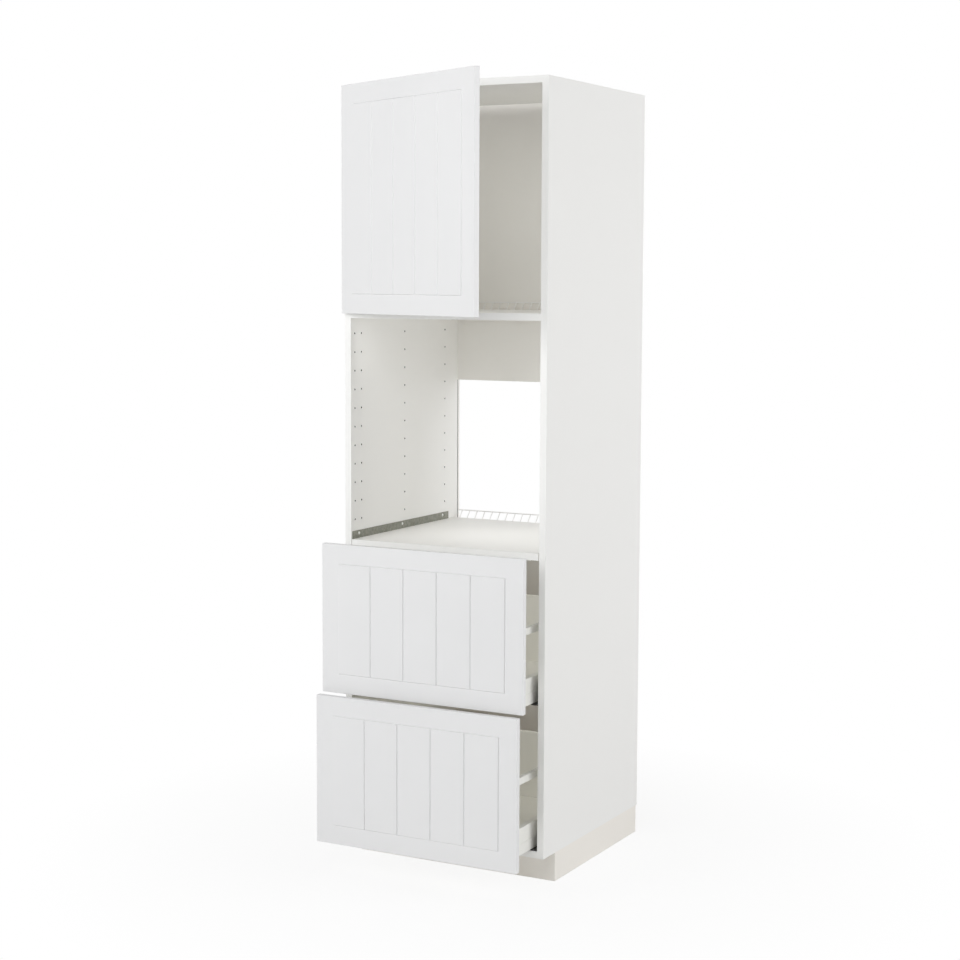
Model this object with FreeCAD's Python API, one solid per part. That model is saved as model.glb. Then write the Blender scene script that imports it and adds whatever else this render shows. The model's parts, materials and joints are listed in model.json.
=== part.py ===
import FreeCAD, Part
import os

V = FreeCAD.Vector

# Carcass: X runs across the front, Y from the front to the back, Z up from the floor
WIDTH = 600.0
DEPTH = 600.0
HEIGHT = 2000.0
BOARD = 18.0
PLINTH_H = 80.0
MODULE = 200.0              # fronts are whole modules high, less the reveal
REVEAL = 3.0
BACK_T = 3.0
BACK_INSET = 12.0           # from the rear edges of the side boards to the back panel
BACK_PLAY = 0.2
GROOVE_DEEP = 6.0
TOP_VENT = 83.0             # open gap between the top board and the back panel
SHELF_VENT = 24.0           # the same behind the shelves, where the grilles stand
OVEN_SHELF_DROP = 4.0       # below the joint of four modules
UPPER_SHELF_RISE = 7.0      # above the lower line of the door's three modules
NICHE_BACK_DROP = 189.0     # how far the upper back panel hangs below the upper shelf

# System holes in the side boards, columns measured from the front edge
HOLE_COLUMNS = (20.0, 53.0, 283.0, 512.0)
HOLE_PITCH = 50.0
HOLE_R = 2.5
HOLE_DEEP = 12.0
NICHE_HOLE_RISE = 52.0      # lowest row above the oven shelf
NICHE_HOLE_MARGIN = 20.0    # least distance of the top row below the upper shelf

# Dowels and pins in the board joints
DOWEL_R = 4.0
DOWEL_IN_SIDE = 12.0
DOWEL_IN_BOARD = 20.0
DOWEL_FROM_END = 60.0
PIN_LONG = 24.0
FIT_PLAY = 0.05             # radial play of a dowel, pin, peg or screw in its hole

# Wire vent grille along the rear edge of a shelf
WIRE_R = 1.5
BAR_R = 1.25
BAR_PITCH = 25.0
GRILLE_SIDE_GAP = 7.0
GRILLE_BACK_GAP = 1.0
GRILLE_DROP = 4.0           # lower wire below the shelf's upper face
GRILLE_RISE = 20.0
PEG_R = 1.2
PEG_LONG = 12.0
PEG_FROM_END = 25.0

# Steel angles under the oven shelf
ANGLE_T = 1.5
ANGLE_FROM = 5.0
ANGLE_END_GAP = 32.0
ANGLE_RISE = 21.0
ANGLE_FLANGE = 26.0
ANGLE_SCREW_YS = (37.0, 267.0, 497.0)
ANGLE_SCREW_RISE = 13.0
SHELF_PLAY = 0.5
SCREW_R = 2.0
SCREW_LONG = 14.0
SCREW_HEAD_R = 4.0
SCREW_HEAD_T = 2.2

# Wall brackets in the upper rear corners
BRACKET_W = 42.0
BRACKET_H = 40.0
BRACKET_LONG = 60.0
BRACKET_T = 2.0
BRACKET_DROP = 6.0
BRACKET_HOLE_R = 3.25
BRACKET_PLAY = 3.0          # notch in the back panel round the bracket

# Fronts
FRONT_GAP = 3.0             # between a closed front and the carcass
FRONT_T = 17.0
FRAME_W = 51.0              # flat border round the raised field
FIELD_RAISE = 2.0
FIELD_BEVEL = 3.0           # also half the width of a groove between planks
PLANKS = 5

# Rest pose
DOOR_OPEN = 25.6
UPPER_OPEN = 100.0
LOWER_OPEN = 130.5

# Concealed hinges: an upright pin stands inside the cup, near the door's edge
HINGE_FROM_END = 98.0
PIN_FROM_EDGE = 7.3
PIN_FROM_BACK = 9.0
PIN_R = 1.5
CUP_R = 17.5
CUP_FROM_EDGE = 2.5
CUP_DEEP = 13.2
CUP_WALL = 1.0
WING_T = 1.2
WING_W = 16.0
WING_HALF = 29.0
ARM_T = 1.6
ARM_H = 10.0
EYE_WALL = 1.1
EYE_H = 7.0
HOOK_DROP = 1.7             # front face of the hook, ahead of the pin's axis
NECK_GAP = 3.2              # from the side board to the neck
ARM_BODY_T = 8.0
ARM_BODY_H = 13.0
ARM_BODY_FROM = 8.0
ARM_BODY_TO = 70.0
PLATE_T = 2.5
PLATE_H = 20.0
PLATE_MARGIN = 14.0
WELL_R = 4.6
BUMPER_R = 5.0
BUMPER_GAP = 0.6
BUMPER_FROM_EDGE = 12.0
BUMPER_FROM_END = 40.0

# Drawers
LOWER_CLEAR = 6.0           # lower drawer's sides above the bottom board
UPPER_CLEAR = 5.5           # upper drawer's sides above the lower edge of its front
SIDE_GAP = 16.0             # from the side board to the drawer side
SIDE_W = 17.0
SIDE_H = 70.0
CREASE_H = 29.0
CREASE_STEP = 0.8
SHEET = 1.0
LEDGE = 12.0
FLOOR_T = 12.0
DRAWER_BACK_H = 200.0
DRAWER_REAR_GAP = 43.0
RAIL_FROM = 183.0
RAIL_H = 18.0
RAIL_W = 12.0
RAIL_INSET = 2.0
RAIL_PLATE_T = 2.0
RAIL_PLATE_MARGIN = 5.0
BLOCK_LONG = 28.0
BLOCK_GAP = 6.0
STRAP_T = 1.5
STRAP_LAP = 22.0

# Runners: three nested channels inside the hollow of each drawer side
STEEL = 1.5
RUN_PLAY = 0.4
FIXED_FROM = 4.0
FIXED_REAR_GAP = 28.0
TRAY_GAP = 2.5              # tray below the drawer side
WEB_GAP = 3.0               # from the drawer side's outer skin to the fixed web
CHANNEL_TOP = 34.0
CHANNEL_END_GAP = 1.0       # from the channel's lips to the inner skin
PLATE_RISE = 8.0            # wall plate above its screw holes
LOWER_SCREW_RISE = 24.0
UPPER_SCREW_RISE = 41.0
MIDDLE_FROM = 16.0
MIDDLE_SHORTER = 31.0
INNER_SHORTER = 13.0
CAP_T = 3.5
CAP_DEEP = 3.8
CAP_GAP = 1.2               # cap below the drawer side

# Plinth and legs
PLINTH_SETBACK = 75.0
PLINTH_SIDE_INSET = 3.0
PLINTH_T = 16.0
PLINTH_PLAY = 1.0
LEG_FROM_SIDE = 60.0
LEG_FROM_FRONT = 130.0
LEG_FROM_REAR = 80.0
LEG_R = 16.0
LEG_LOW = 22.0
LEG_FLANGE_R = 32.0
LEG_FLANGE_T = 8.0
STEM_R = 10.0
STEM_PLAY = 0.075
STEM_DOWN = 20.0            # top of the stem below the carcass
PAD_R = 22.0
PAD_T = 8.0
CLIP_T = 3.0
CLIP_H = 12.0
CLIP_W = 16.0
FRONT_CLIP_Z = 52.0
SIDE_CLIP_Z = 32.0

# Places that follow from the sizes above
FRONT = -DEPTH / 2
REAR = DEPTH / 2
OUTER = WIDTH / 2
INNER = OUTER - BOARD
BASE = PLINTH_H
TOP = BASE + HEIGHT
BACK_Y = REAR - BACK_INSET
SHELF_REAR = BACK_Y - SHELF_VENT
TOP_REAR = BACK_Y - TOP_VENT
OVEN_SHELF_TOP = BASE + 4 * MODULE - OVEN_SHELF_DROP
OVEN_SHELF_LOW = OVEN_SHELF_TOP - BOARD
DOOR_LOW = TOP - 3 * MODULE + REVEAL / 2
UPPER_SHELF_TOP = TOP - 3 * MODULE + UPPER_SHELF_RISE
UPPER_SHELF_LOW = UPPER_SHELF_TOP - BOARD
FRONT_W = WIDTH - REVEAL
DOOR_H = 3 * MODULE - REVEAL
DRAWER_FRONT_H = 2 * MODULE - REVEAL
FRONT_BACK = FRONT - FRONT_GAP
EDGE = -FRONT_W / 2
PIN_X = EDGE + PIN_FROM_EDGE
PIN_Y = FRONT_BACK - PIN_FROM_BACK
CUP_X = EDGE + CUP_FROM_EDGE + CUP_R
HINGE_ZS = (DOOR_LOW + HINGE_FROM_END, DOOR_LOW + DOOR_H - HINGE_FROM_END)
HINGE_COLUMNS = HOLE_COLUMNS[:2]
RUNNER_COLUMNS = HOLE_COLUMNS[1:]
LOWER_FRONT_LOW = BASE + REVEAL / 2
UPPER_FRONT_LOW = LOWER_FRONT_LOW + 2 * MODULE
LOWER_ZB = BASE + BOARD + LOWER_CLEAR
UPPER_ZB = UPPER_FRONT_LOW + UPPER_CLEAR
DRAWER_REAR = BACK_Y - DRAWER_REAR_GAP
FIXED_REAR = BACK_Y - FIXED_REAR_GAP
SKIN_IN = SIDE_GAP + SIDE_W - SHEET
WEB_AT = SIDE_GAP + SHEET + WEB_GAP
LIP_AT = SKIN_IN - CHANNEL_END_GAP
BRACKET_LOW = TOP - BRACKET_DROP - BRACKET_H
BRACKET_Z = BRACKET_LOW + BRACKET_H / 2
PLINTH_X = OUTER - PLINTH_SIDE_INSET
PLINTH_Y = FRONT + PLINTH_SETBACK
GRILLE_HALF = INNER - GRILLE_SIDE_GAP


def box(x0, x1, y0, y1, z0, z1):
    """Board or block between two corners."""
    return Part.makeBox(x1 - x0, y1 - y0, z1 - z0, V(x0, y0, z0))


def rod(radius, start, end):
    """Round bar or hole between two points."""
    way = V(*end) - V(*start)
    return Part.makeCylinder(radius, way.Length, V(*start), way)


def drawn(points, way):
    """Closed outline drawn out along a vector."""
    return Part.Face(Part.makePolygon(points + points[:1])).extrude(way)


def folded(path, thickness):
    """Outline of a folded sheet: a path of outer corners and the same path moved to its left."""
    ways = [(V(b[0] - a[0], b[1] - a[1], 0)).normalize() for a, b in zip(path, path[1:])]
    sides = [V(-w.y, w.x, 0) for w in ways]
    sides = [sides[0]] + [(a + b) / (1 + a.dot(b)) for a, b in zip(sides, sides[1:])] + [sides[-1]]
    inner = [(p[0] + s.x * thickness, p[1] + s.y * thickness) for p, s in zip(path, sides)]
    return list(path) + inner[::-1]


def along_depth(outline, y0, y1):
    """Section of (distance in from the right side board, height) drawn out from front to back."""
    return drawn([V(INNER - u, y0, z) for u, z in outline], V(0, y1 - y0, 0))


def turned(profile, x, y):
    """Profile of (radius, height) revolved about an upright axis."""
    points = [V(x + r, y, z) for r, z in profile]
    return Part.Face(Part.makePolygon(points + points[:1])).revolve(V(x, y, 0), V(0, 0, 1), 360)


def joined(first, *others):
    """One solid out of overlapping shapes."""
    return first.fuse(list(others)).removeSplitter()


def mirrored(shape):
    """The same piece for the left of the cabinet."""
    return shape.mirror(V(0, 0, 0), V(1, 0, 0))


def pair(*shapes):
    """Right-hand pieces followed by their left-hand twins."""
    return list(shapes) + [mirrored(s) for s in shapes]


def side_holes(radius, deep, y_list, z):
    """Blind holes in the right-hand side board, in one row."""
    return [rod(radius, (INNER, FRONT + y, z), (INNER + deep, FRONT + y, z)) for y in y_list]


def niche_rows():
    """Heights of the rows of system holes in the oven niche."""
    first = OVEN_SHELF_TOP + NICHE_HOLE_RISE
    count = int((UPPER_SHELF_LOW - NICHE_HOLE_MARGIN - first) / HOLE_PITCH) + 1
    return [first + i * HOLE_PITCH for i in range(count)]


def corner_dowels(play):
    """Right-hand dowels of the top and bottom boards, or their bores."""
    dowels = []
    for rear, z in ((TOP_REAR, TOP - BOARD / 2), (BACK_Y, BASE + BOARD / 2)):
        for y in (FRONT + DOWEL_FROM_END, rear - DOWEL_FROM_END):
            start = (INNER - DOWEL_IN_BOARD - play, y, z)
            end = (INNER + DOWEL_IN_SIDE + play, y, z)
            dowels.append(rod(DOWEL_R + play, start, end))
    return dowels


def shelf_pins(play):
    """Right-hand pins of the upper shelf, or their bores."""
    z = UPPER_SHELF_TOP - BOARD / 2
    half = PIN_LONG / 2 + play
    return [rod(HOLE_R - FIT_PLAY + play, (INNER - half, FRONT + y, z), (INNER + half, FRONT + y, z))
            for y in RUNNER_COLUMNS[::2]]


def runner_hole_rows():
    return [LOWER_ZB + LOWER_SCREW_RISE, UPPER_ZB + UPPER_SCREW_RISE]


def side_panel():
    """Right-hand side board with its back groove and holes."""
    panel = box(INNER, OUTER, FRONT, REAR, BASE, TOP)
    groove = box(INNER, INNER + GROOVE_DEEP, BACK_Y, BACK_Y + BACK_T + BACK_PLAY, BASE, TOP)
    cuts = [groove] + corner_dowels(FIT_PLAY) + shelf_pins(FIT_PLAY)
    for z in niche_rows():
        cuts += side_holes(HOLE_R, HOLE_DEEP, HOLE_COLUMNS, z)
    for z in runner_hole_rows():
        cuts += side_holes(HOLE_R, HOLE_DEEP, RUNNER_COLUMNS, z)
    for z in HINGE_ZS:
        cuts += side_holes(HOLE_R, HOLE_DEEP, HINGE_COLUMNS, z)
    cuts += side_holes(SCREW_R + FIT_PLAY, SCREW_LONG, ANGLE_SCREW_YS, OVEN_SHELF_TOP + ANGLE_SCREW_RISE)
    return panel.cut(cuts)


def cross_board(low, rear, half_width, bores):
    """Horizontal board between the sides."""
    return box(-half_width, half_width, FRONT, rear, low, low + BOARD).cut(bores)


def grille_pegs(shelf_top, play):
    """Two pegs that hold a grille in the shelf's rear edge, or their bores."""
    z = shelf_top - GRILLE_DROP
    x = GRILLE_HALF - PEG_FROM_END
    peg = rod(PEG_R + play, (x, SHELF_REAR - PEG_LONG - play, z), (x, SHELF_REAR + WIRE_R, z))
    return pair(peg)


def vent_grille(shelf_top):
    """Welded wire fence that leans back from the shelf's rear edge."""
    low = (SHELF_REAR + WIRE_R, shelf_top - GRILLE_DROP)
    high = (BACK_Y - GRILLE_BACK_GAP - WIRE_R, shelf_top + GRILLE_RISE)
    wires = [rod(WIRE_R, (-GRILLE_HALF, y, z), (GRILLE_HALF, y, z)) for y, z in (low, high)]
    count = int(2 * (GRILLE_HALF - 4 * BAR_R) / BAR_PITCH) + 1
    xs = [(i - (count - 1) / 2) * BAR_PITCH for i in range(count)]
    bars = [rod(BAR_R, (x,) + low, (x,) + high) for x in xs]
    return joined(*wires, *bars, *grille_pegs(shelf_top, 0.0))


def shelf_angle():
    """Right-hand steel angle: one leaf on the side board, one under the oven shelf."""
    low = OVEN_SHELF_LOW - ANGLE_T
    outline = folded([(ANGLE_FLANGE, low), (0.0, low), (0.0, OVEN_SHELF_TOP + ANGLE_RISE)], -ANGLE_T)
    leaf = along_depth(outline, FRONT + ANGLE_FROM, SHELF_REAR - ANGLE_END_GAP)
    z = OVEN_SHELF_TOP + ANGLE_SCREW_RISE
    passes = [rod(SCREW_R + FIT_PLAY, (INNER - ANGLE_T, FRONT + y, z), (INNER, FRONT + y, z))
              for y in ANGLE_SCREW_YS]
    return leaf.cut(passes)


def angle_screws():
    """Right-hand pan-head screws of an angle."""
    z = OVEN_SHELF_TOP + ANGLE_SCREW_RISE
    head = INNER - ANGLE_T
    screws = []
    for y in ANGLE_SCREW_YS:
        shank = rod(SCREW_R, (head, FRONT + y, z), (INNER + SCREW_LONG, FRONT + y, z))
        cap = rod(SCREW_HEAD_R, (head - SCREW_HEAD_T, FRONT + y, z), (head, FRONT + y, z))
        screws.append(joined(shank, cap))
    return screws


def back_panel(low, high):
    """Thin panel held in the grooves of the side boards."""
    half = INNER + GROOVE_DEEP - 2 * BACK_PLAY
    return box(-half, half, BACK_Y, BACK_Y + BACK_T, low, high)


def upper_back():
    """Upper panel, notched round the wall brackets."""
    notch = box(INNER - BRACKET_W - BRACKET_PLAY, OUTER, BACK_Y, REAR, BRACKET_LOW - BRACKET_PLAY, TOP)
    return back_panel(UPPER_SHELF_LOW - NICHE_BACK_DROP, TOP).cut(pair(notch))


def wall_bracket():
    """Right-hand steel bracket: one leaf on the side board, one against the wall."""
    path = [(INNER - BRACKET_W, REAR), (INNER, REAR), (INNER, REAR - BRACKET_LONG)]
    outline = folded(path, -BRACKET_T)
    leaf = drawn([V(x, y, BRACKET_LOW) for x, y in outline], V(0, 0, BRACKET_H))
    x = INNER - BRACKET_W / 2
    return leaf.cut(rod(BRACKET_HOLE_R, (x, REAR - BRACKET_T, BRACKET_Z), (x, REAR, BRACKET_Z)))


def plank_front(low, height):
    """Closed front: a slab with a flat border and a raised, bevelled field cut into planks."""
    half = FRONT_W / 2
    face = FRONT_BACK - FRONT_T
    crown = face - FIELD_RAISE
    side = half - FRAME_W
    slab = box(-half, half, face, FRONT_BACK, low, low + height)
    outline = [(-side, FRONT_BACK), (-side, face), (-side + FIELD_BEVEL, crown)]
    for i in range(1, PLANKS):
        x = side * (2 * i / PLANKS - 1)
        outline += [(x - FIELD_BEVEL, crown), (x, face), (x + FIELD_BEVEL, crown)]
    outline += [(side - FIELD_BEVEL, crown), (side, face), (side, FRONT_BACK)]
    z0 = low + FRAME_W
    z1 = low + height - FRAME_W
    field = drawn([V(x, y, z0) for x, y in outline], V(0, 0, z1 - z0))
    for z, inward in ((z0, FIELD_BEVEL), (z1, -FIELD_BEVEL)):
        edge = [V(-half, face, z), V(-half, crown, z), V(-half, crown, z + inward)]
        field = field.cut(drawn(edge, V(FRONT_W, 0, 0)))
    return joined(slab, field)


def opened_door(shape):
    """A door piece turned about the hinge pins to the rest angle."""
    piece = shape.copy()
    piece.rotate(V(PIN_X, PIN_Y, 0), V(0, 0, 1), -DOOR_OPEN)
    return piece


def door_panel():
    """Door board with a bored pocket for each hinge cup."""
    pockets = [rod(CUP_R, (CUP_X, FRONT_BACK - CUP_DEEP, z), (CUP_X, FRONT_BACK, z)) for z in HINGE_ZS]
    return plank_front(DOOR_LOW, DOOR_H).cut(pockets)


def hinge_pin(z):
    """Upright pin held in the cup's wall."""
    reach = ((CUP_R - CUP_WALL / 2) ** 2 - (CUP_X - PIN_X + PIN_R) ** 2) ** 0.5
    return rod(PIN_R, (PIN_X, PIN_Y, z - reach), (PIN_X, PIN_Y, z + reach))


def hinge_cup(z):
    """Pressed cup with a wing that lies on the door's back."""
    floor = FRONT_BACK - CUP_DEEP
    crown = FRONT_BACK + WING_T
    pot = rod(CUP_R, (CUP_X, floor, z), (CUP_X, FRONT_BACK, z))
    wing = box(CUP_X, CUP_X + WING_W, FRONT_BACK, crown, z - WING_HALF, z + WING_HALF)
    hollow = rod(CUP_R - CUP_WALL, (CUP_X, floor + CUP_WALL, z), (CUP_X, crown, z))
    return joined(pot, wing).cut([hollow, hinge_pin(z)])


def hinge_arm(z):
    """Bent arm: an eye round the pin, a hook inside the cup, a neck and a body on the plate."""
    eye = rod(PIN_R + EYE_WALL, (PIN_X, PIN_Y, z - EYE_H / 2), (PIN_X, PIN_Y, z + EYE_H / 2))
    neck_x = -INNER + NECK_GAP
    hook_y = PIN_Y - HOOK_DROP
    hook = box(PIN_X, neck_x + ARM_T, hook_y, hook_y + ARM_T, z - EYE_H / 2, z + EYE_H / 2)
    neck = box(neck_x, neck_x + ARM_T, hook_y, FRONT + ARM_BODY_TO / 2, z - ARM_H / 2, z + ARM_H / 2)
    seat = -INNER + PLATE_T
    body = box(seat, seat + ARM_BODY_T, FRONT + ARM_BODY_FROM, FRONT + ARM_BODY_TO,
               z - ARM_BODY_H / 2, z + ARM_BODY_H / 2)
    bore = rod(PIN_R + FIT_PLAY, (PIN_X, PIN_Y, z - EYE_H), (PIN_X, PIN_Y, z + EYE_H))
    wells = [rod(WELL_R, (seat, FRONT + y, z), (seat + ARM_BODY_T, FRONT + y, z)) for y in HINGE_COLUMNS]
    return joined(eye, hook, neck, body).cut([bore] + wells)


def hinge_plate(z):
    """Plate on the left side board under a hinge arm."""
    y0 = FRONT + HINGE_COLUMNS[0] - PLATE_MARGIN
    y1 = FRONT + HINGE_COLUMNS[1] + PLATE_MARGIN
    plate = box(-INNER, -INNER + PLATE_T, y0, y1, z - PLATE_H / 2, z + PLATE_H / 2)
    return plate.cut([rod(HOLE_R, (-INNER, FRONT + y, z), (-INNER + PLATE_T, FRONT + y, z))
                      for y in HINGE_COLUMNS])


def door_bumper(z):
    """Soft stud between the closed door and the carcass."""
    x = FRONT_W / 2 - BUMPER_FROM_EDGE
    return rod(BUMPER_R, (x, FRONT_BACK, z), (x, FRONT - BUMPER_GAP, z))


def channel(web, lip, low, high):
    """Section of a steel channel whose lips point from its web towards the drawer or the wall."""
    path = [(lip, low), (web, low), (web, high), (lip, high)]
    return folded(path, -STEEL if lip > web else STEEL)


def channel_span(step):
    """Lower and upper faces of a nested channel above the drawer side's lower edge."""
    shrink = step * (STEEL + RUN_PLAY)
    return shrink - TRAY_GAP, CHANNEL_TOP - shrink


def runner_fixed(zb, screw_rise):
    """Right-hand fixed member: a wall bracket whose tray carries the outer channel."""
    tray = zb - TRAY_GAP - STEEL
    plate_top = zb + screw_rise + PLATE_RISE
    bracket = folded([(LIP_AT, tray), (0.0, tray), (0.0, plate_top)], -STEEL)
    low, high = channel_span(0)
    outer = channel(WEB_AT, LIP_AT, zb + low, zb + high)
    y0 = FRONT + FIXED_FROM
    z = zb + screw_rise
    passes = [rod(HOLE_R, (INNER - STEEL, FRONT + y, z), (INNER, FRONT + y, z)) for y in RUNNER_COLUMNS]
    return joined(along_depth(bracket, y0, FIXED_REAR), along_depth(outer, y0, FIXED_REAR)).cut(passes)


def runner_middle(zb):
    """Right-hand middle member: a channel nested in the fixed one."""
    low, high = channel_span(1)
    section = channel(WEB_AT + STEEL + RUN_PLAY, LIP_AT - RUN_PLAY, zb + low, zb + high)
    y0 = FRONT + MIDDLE_FROM
    return along_depth(section, y0, y0 + FIXED_REAR - FRONT - FIXED_FROM - MIDDLE_SHORTER)


def runner_inner(zb):
    """Right-hand drawer member: a channel fixed to the drawer side's inner skin."""
    low, high = channel_span(2)
    section = channel(SKIN_IN, WEB_AT + 2 * (STEEL + RUN_PLAY), zb + low, zb + high)
    y0 = FRONT + FIXED_FROM
    return along_depth(section, y0, y0 + DRAWER_REAR - FRONT_BACK - INNER_SHORTER)


def runner_cap(zb):
    """Right-hand dark cap on the front end of the fixed member's tray."""
    high = zb - CAP_GAP
    section = [(0.0, high - CAP_DEEP), (WEB_AT, high - CAP_DEEP), (WEB_AT, high), (0.0, high)]
    return along_depth(section, FRONT + FIXED_FROM - CAP_T, FRONT + FIXED_FROM)


def drawer_side(zb):
    """Right-hand folded steel side: creased outer skin, top, inner skin and a ledge for the floor."""
    outer = SIDE_GAP
    swell = SIDE_GAP - CREASE_STEP
    inner = SIDE_GAP + SIDE_W
    path = [(swell, zb), (swell, zb + CREASE_H), (outer, zb + CREASE_H + CREASE_STEP), (outer, zb + SIDE_H),
            (inner, zb + SIDE_H), (inner, zb + SHEET), (inner + LEDGE, zb + SHEET)]
    return along_depth(folded(path, -SHEET), FRONT_BACK, DRAWER_REAR)


def drawer_floor(zb):
    """Floor board on the ledges of the sides."""
    half = INNER - SIDE_GAP - SIDE_W
    return box(-half, half, FRONT_BACK, DRAWER_REAR - FLOOR_T, zb + SHEET, zb + SHEET + FLOOR_T)


def drawer_back(zb):
    """Back board between the sides, as high as the rails."""
    half = INNER - SIDE_GAP - SIDE_W
    return box(-half, half, DRAWER_REAR - FLOOR_T, DRAWER_REAR, zb + SHEET, zb + DRAWER_BACK_H)


def drawer_rail(zb):
    """Right-hand gallery rail: a square tube from the front to the rear strap."""
    u0 = SIDE_GAP + RAIL_INSET
    u1 = u0 + RAIL_W
    z0 = zb + RAIL_FROM
    z1 = z0 + RAIL_H
    y0 = FRONT_BACK + RAIL_PLATE_T
    tube = box(INNER - u1, INNER - u0, y0, DRAWER_REAR, z0, z1)
    return tube.cut(box(INNER - u1 + SHEET, INNER - u0 - SHEET, y0, DRAWER_REAR, z0 + SHEET, z1 - SHEET))


def drawer_brackets(zb):
    """Right-hand fittings: block in the side, plate on the front at the rail, strap at the rear."""
    right = INNER - SIDE_GAP
    left = right - SIDE_W
    rail_top = zb + RAIL_FROM + RAIL_H
    block = box(left + SHEET, right - SHEET, FRONT_BACK, FRONT_BACK + BLOCK_LONG,
                zb + CHANNEL_TOP + BLOCK_GAP, zb + SIDE_H - SHEET)
    plate = box(left, right, FRONT_BACK, FRONT_BACK + RAIL_PLATE_T,
                zb + RAIL_FROM - RAIL_PLATE_MARGIN, rail_top + RAIL_PLATE_MARGIN)
    strap = box(left - STRAP_LAP, right - RAIL_INSET, DRAWER_REAR, DRAWER_REAR + STRAP_T,
                zb + CHANNEL_TOP + BLOCK_GAP, rail_top)
    return [block, plate, strap]


def leg_column(x, y):
    """Plastic leg under the bottom board, bored for the foot's stem."""
    bore = STEM_R + STEM_PLAY
    shoulder = BASE - LEG_FLANGE_T
    profile = [(bore, LEG_LOW), (LEG_R, LEG_LOW), (LEG_R, shoulder), (LEG_FLANGE_R, shoulder),
               (LEG_FLANGE_R, BASE), (0.0, BASE), (0.0, shoulder), (bore, shoulder)]
    return turned(profile, x, y)


def foot(x, y):
    """Adjustable foot: a pad on the floor and a stem in the leg."""
    top = BASE - STEM_DOWN
    profile = [(0.0, 0.0), (PAD_R, 0.0), (PAD_R, PAD_T), (STEM_R, PAD_T), (STEM_R, top), (0.0, top)]
    return turned(profile, x, y)


def leg_spots():
    """Centres of the legs, named by their corners."""
    x = OUTER - LEG_FROM_SIDE
    front = FRONT + LEG_FROM_FRONT
    rear = REAR - LEG_FROM_REAR
    return {"front_left": (-x, front), "front_right": (x, front),
            "rear_left": (-x, rear), "rear_right": (x, rear)}


def plinth_front():
    return box(-PLINTH_X, PLINTH_X, PLINTH_Y, PLINTH_Y + PLINTH_T, PLINTH_PLAY, PLINTH_H - PLINTH_PLAY)


def plinth_return():
    """Right-hand return of the plinth."""
    return box(PLINTH_X - PLINTH_T, PLINTH_X, PLINTH_Y + PLINTH_T, REAR, PLINTH_PLAY, PLINTH_H - PLINTH_PLAY)


def plinth_clip(x, y, z, tongue):
    """Ring round a leg, with a tongue that reaches a plinth board."""
    ring = rod(LEG_R + CLIP_T, (x, y, z), (x, y, z + CLIP_H))
    return joined(ring, tongue).cut(rod(LEG_R, (x, y, z), (x, y, z + CLIP_H)))


def front_clip():
    """Right-hand clip of the front board."""
    x, y = leg_spots()["front_right"]
    tongue = box(x - CLIP_W / 2, x + CLIP_W / 2, PLINTH_Y + PLINTH_T, y, FRONT_CLIP_Z, FRONT_CLIP_Z + CLIP_H)
    return plinth_clip(x, y, FRONT_CLIP_Z, tongue)


def side_clip(corner):
    """Right-hand clip of a return."""
    x, y = leg_spots()[corner]
    tongue = box(x, PLINTH_X - PLINTH_T, y - CLIP_W / 2, y + CLIP_W / 2, SIDE_CLIP_Z, SIDE_CLIP_Z + CLIP_H)
    return plinth_clip(x, y, SIDE_CLIP_Z, tongue)


def save(name, shapes, forward=0.0):
    """Write one node, moved forward to its rest place; pairs and sets go in as groups of solids."""
    shape = Part.makeCompound(shapes) if len(shapes) > 1 else shapes[0].copy()
    shape.translate(V(0, -forward, 0))
    shape.exportStep("parts/" + name + ".step")


def save_boards():
    right = side_panel()
    bores = pair(*corner_dowels(FIT_PLAY))
    pegs = grille_pegs(UPPER_SHELF_TOP, FIT_PLAY) + pair(*shelf_pins(FIT_PLAY))
    save("side_panel_right", [right])
    save("side_panel_left", [mirrored(right)])
    save("top_panel", [cross_board(TOP - BOARD, TOP_REAR, INNER, bores)])
    save("bottom_panel", [cross_board(BASE, BACK_Y, INNER, bores)])
    save("corner_dowels", pair(*corner_dowels(0.0)))
    save("upper_shelf", [cross_board(UPPER_SHELF_LOW, SHELF_REAR, INNER, pegs)])
    save("upper_shelf_pins", pair(*shelf_pins(0.0)))
    half = INNER - ANGLE_T - SHELF_PLAY
    save("oven_shelf", [cross_board(OVEN_SHELF_LOW, SHELF_REAR, half, grille_pegs(OVEN_SHELF_TOP, FIT_PLAY))])
    save("back_panel_upper", [upper_back()])
    save("back_panel_lower", [back_panel(BASE, OVEN_SHELF_LOW)])


def save_fittings():
    angle = shelf_angle()
    bracket = wall_bracket()
    save("upper_vent_grille", [vent_grille(UPPER_SHELF_TOP)])
    save("oven_vent_grille", [vent_grille(OVEN_SHELF_TOP)])
    save("oven_shelf_angle_right", [angle])
    save("oven_shelf_angle_left", [mirrored(angle)])
    save("angle_screws", pair(*angle_screws()))
    save("wall_bracket_right", [bracket])
    save("wall_bracket_left", [mirrored(bracket)])


def save_base():
    save("leg_columns", [leg_column(x, y) for x, y in leg_spots().values()])
    for corner, (x, y) in leg_spots().items():
        save("foot_" + corner, [foot(x, y)])
    save("plinth_front", [plinth_front()])
    save("plinth_right", [plinth_return()])
    save("plinth_left", [mirrored(plinth_return())])
    save("plinth_clips", pair(front_clip(), side_clip("front_right"), side_clip("rear_right")))


def save_door():
    bumper_zs = (DOOR_LOW + BUMPER_FROM_END, DOOR_LOW + DOOR_H - BUMPER_FROM_END)
    save("door_panel", [opened_door(door_panel())])
    save("hinge_cups", [opened_door(hinge_cup(z)) for z in HINGE_ZS])
    save("hinge_pins", [opened_door(hinge_pin(z)) for z in HINGE_ZS])
    save("door_bumpers", [opened_door(door_bumper(z)) for z in bumper_zs])
    save("hinge_arms", [hinge_arm(z) for z in HINGE_ZS])
    save("hinge_plates", [hinge_plate(z) for z in HINGE_ZS])


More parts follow.
